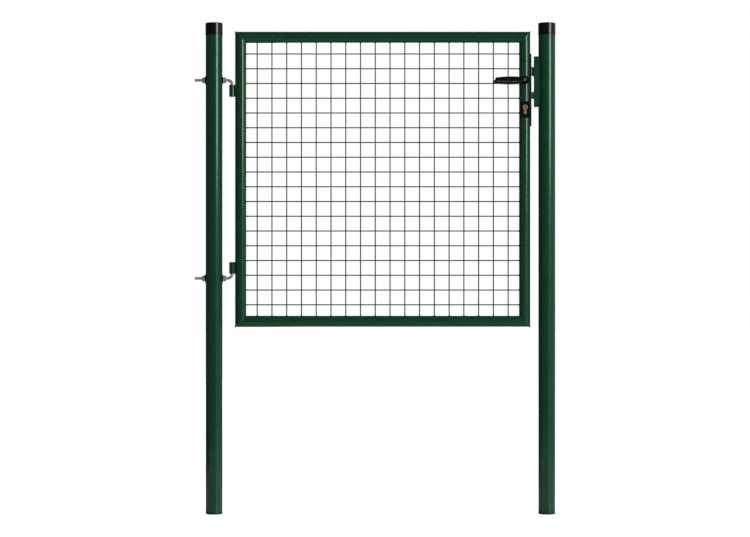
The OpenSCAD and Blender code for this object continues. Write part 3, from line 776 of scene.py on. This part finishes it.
# %% Nuggets at the crossings
bm = bmesh.new()
nugget_r = 2.5 * MM
nugget_half_t = 1.3 * MM
first_place = Matrix.Translation((wire_xs[0], (up_y + flat_y) / 2, wire_zs[0]))
flattened = Matrix.Diagonal((nugget_r, nugget_half_t, nugget_r, 1))
bmesh.ops.create_uvsphere(bm, u_segments=8, v_segments=5, radius=1, matrix=first_place @ flattened)
for stride, count in [((pitch, 0, 0), len(wire_xs)), ((0, 0, pitch), len(wire_zs))]:
    everything = bm.verts[:] + bm.edges[:] + bm.faces[:]
    bmesh.ops.spin(
        bm, geom=everything, cent=(0, 0, 0), axis=(0, 0, 1), dvec=stride, angle=0,
        steps=count - 1, use_merge=False, use_duplicate=True)
finish_piece("mesh_nuggets", bm, "vertical_wires", sharp=80)


# %% Collars at the ends of the wires
def collar(bm, place, away):
    """A short cone with its wide end on the frame at place, narrowing along away."""
    depth = 3.0 * MM
    buried = 0.2 * depth
    foot_r = wire_r + 1.5 * MM
    top_r = wire_r + 0.1 * MM
    turn = Vector((0, 0, 1)).rotation_difference(away).to_matrix().to_4x4()
    matrix = Matrix.Translation(place + away * (depth / 2 - buried)) @ turn
    bmesh.ops.create_cone(
        bm, cap_ends=True, segments=12, radius1=foot_r, radius2=top_r, depth=depth, matrix=matrix)


bm = bmesh.new()
tube_face = math.sqrt(tube_r ** 2 - up_y ** 2)
for x in wire_xs:
    collar(bm, Vector((x, up_y, leaf_z0 + tube_r + tube_face)), Vector((0, 0, 1)))
    collar(bm, Vector((x, up_y, leaf_z1 - tube_r - tube_face)), Vector((0, 0, -1)))
for z in wire_zs:
    collar(bm, Vector((stile_x + tube_face, flat_y, z)), Vector((1, 0, 0)))
    collar(bm, Vector((lock_x - tube_face, flat_y, z)), Vector((-1, 0, 0)))
finish_piece("mesh_collars", bm, "horizontal_wires", sharp=60)

# %% [markdown]
# ## Camera
#
# The gate is seen square on from the front, from far enough away that its tubes stay straight and
# parallel. The camera stands level, seven metres out, opposite the middle of the view, and the
# lens is worked out from how much of the gate's plane should fill the frame's width.

# %% Camera
stand_off = 7.0
eye_x = 0.545
eye_z = 0.831
view_width = 2.541
camera_data = bpy.data.cameras.new("front_view")
camera_data.lens = camera_data.sensor_width * stand_off / view_width
camera = bpy.data.objects.new("front_view", camera_data)
camera.location = (eye_x, -stand_off, eye_z)
camera.rotation_euler = (math.radians(90), 0, 0)
bpy.context.scene.collection.objects.link(camera)
bpy.context.scene.camera = camera
print("lens", round(camera_data.lens, 1))

# %% [markdown]
# ## Studio
#
# A glossy dark gate is drawn by what it reflects. One tall panel, front right and above head
# height, puts the crisp line down the upper part of every upright tube. A wide dim panel further
# round lifts the right-hand sides, and a soft key from the front shows the green itself. The
# floor is left out of reflections, so strips can reach down through it: they give the same crisp
# line to anyone who looks down on the gate or walks round it. Each panel is either mirrored in the
# gloss or lights the colour beneath it, never both, so that the two can be tuned apart.


# %% Helpers for light panels
def add_panel(name, size, radiance, place, turn, mirrored=True):
    """A rectangular light panel, hidden from the camera; if it isn't mirrored, it lights the colour."""
    width, height = size
    data = bpy.data.lights.new(name, "AREA")
    data.shape = "RECTANGLE"
    data.size = width
    data.size_y = height
    data.energy = radiance * math.pi * width * height
    lamp = bpy.data.objects.new(name, data)
    lamp.location = place
    lamp.rotation_euler = turn
    lamp.visible_camera = False
    lamp.visible_glossy = mirrored
    lamp.visible_diffuse = not mirrored
    bpy.context.scene.collection.objects.link(lamp)


def upright_panel(name, azimuth, distance, low_z, high_z, width, radiance, mirrored=True):
    """A panel that stands facing the gate; azimuth 0 is the front and 90 is the right."""
    angle = math.radians(azimuth)
    x = (leaf_x0 + leaf_x1) / 2 + distance * math.sin(angle)
    place = (x, -distance * math.cos(angle), (low_z + high_z) / 2)
    turn = (math.radians(90), 0, angle)
    add_panel(name, (width, high_z - low_z), radiance, place, turn, mirrored)


# %% Panels
# name, azimuth, distance, lowest and highest z, width, radiance
upright_panel("tall_strip", 43, 12, 1.75, 5.2, 4.8, 7.5)
upright_panel("right_wash", 80, 3, -1.0, 5.0, 8.6, 0.35)
upright_panel("front_key", 35, 7, 0.0, 5.0, 6.0, 3.3, mirrored=False)
upright_panel("back_fill", 215, 8, 0.5, 5.0, 6.0, 2.0, mirrored=False)
upright_panel("back_strip", 175, 12, -9.0, 5.0, 4.0, 2.2)
upright_panel("low_right_strip", 43, 12, -12.0, -1.7, 4.0, 4.0)
upright_panel("low_left_strip", 300, 12, -12.0, -1.7, 3.0, 2.5)
glow_place = ((leaf_x0 + leaf_x1) / 2, -1.0, 0.01)
face_up = (math.radians(180), 0, 0)
add_panel("floor_glow", (4.0, 3.0), 0.3, glow_place, face_up)

# %% [markdown]
# ## World and floor
#
# The world is white to the eye but dim to reflections and dim as fill light. The Light Path node
# tells the three kinds of ray apart, and two Mix nodes choose a brightness for each. The floor is
# pale and plain, and large enough that its far edge is lost in the white.

# %% World
world = bpy.data.worlds.new("studio")
world.use_nodes = True
world_nodes = world.node_tree.nodes
world_links = world.node_tree.links
background = world_nodes["Background"]
background.inputs["Color"].default_value = (1, 1, 1, 1)
path = world_nodes.new("ShaderNodeLightPath")
fill_light = 0.20
seen_in_gloss = 0.05
seen_by_eye = 1.0
gloss_level = world_nodes.new("ShaderNodeMix")
gloss_level.inputs["A"].default_value = fill_light
gloss_level.inputs["B"].default_value = seen_in_gloss
eye_level = world_nodes.new("ShaderNodeMix")
eye_level.inputs["B"].default_value = seen_by_eye
world_links.new(path.outputs["Is Glossy Ray"], gloss_level.inputs["Factor"])
world_links.new(gloss_level.outputs["Result"], eye_level.inputs["A"])
world_links.new(path.outputs["Is Camera Ray"], eye_level.inputs["Factor"])
world_links.new(eye_level.outputs["Result"], background.inputs["Strength"])
bpy.context.scene.world = world
bpy.context.scene.view_settings.view_transform = "Standard"

# %% Floor
floor_half = 20
bm = bmesh.new()
bmesh.ops.create_grid(bm, x_segments=1, y_segments=1, size=floor_half)
floor_mesh = bpy.data.meshes.new("pale_floor")
bm.to_mesh(floor_mesh)
bm.free()
floor = bpy.data.objects.new("pale_floor", floor_mesh)
bpy.context.scene.collection.objects.link(floor)
pale_paint = start_finish(
    "pale_floor", Base_Color=(0.85, 0.85, 0.85, 1), Roughness=0.9, Specular_IOR_Level=0.0,
    Emission_Color=(1, 1, 1, 1), Emission_Strength=0.92)[0]
floor_mesh.materials.append(pale_paint)
floor.visible_glossy = False
floor.visible_diffuse = False
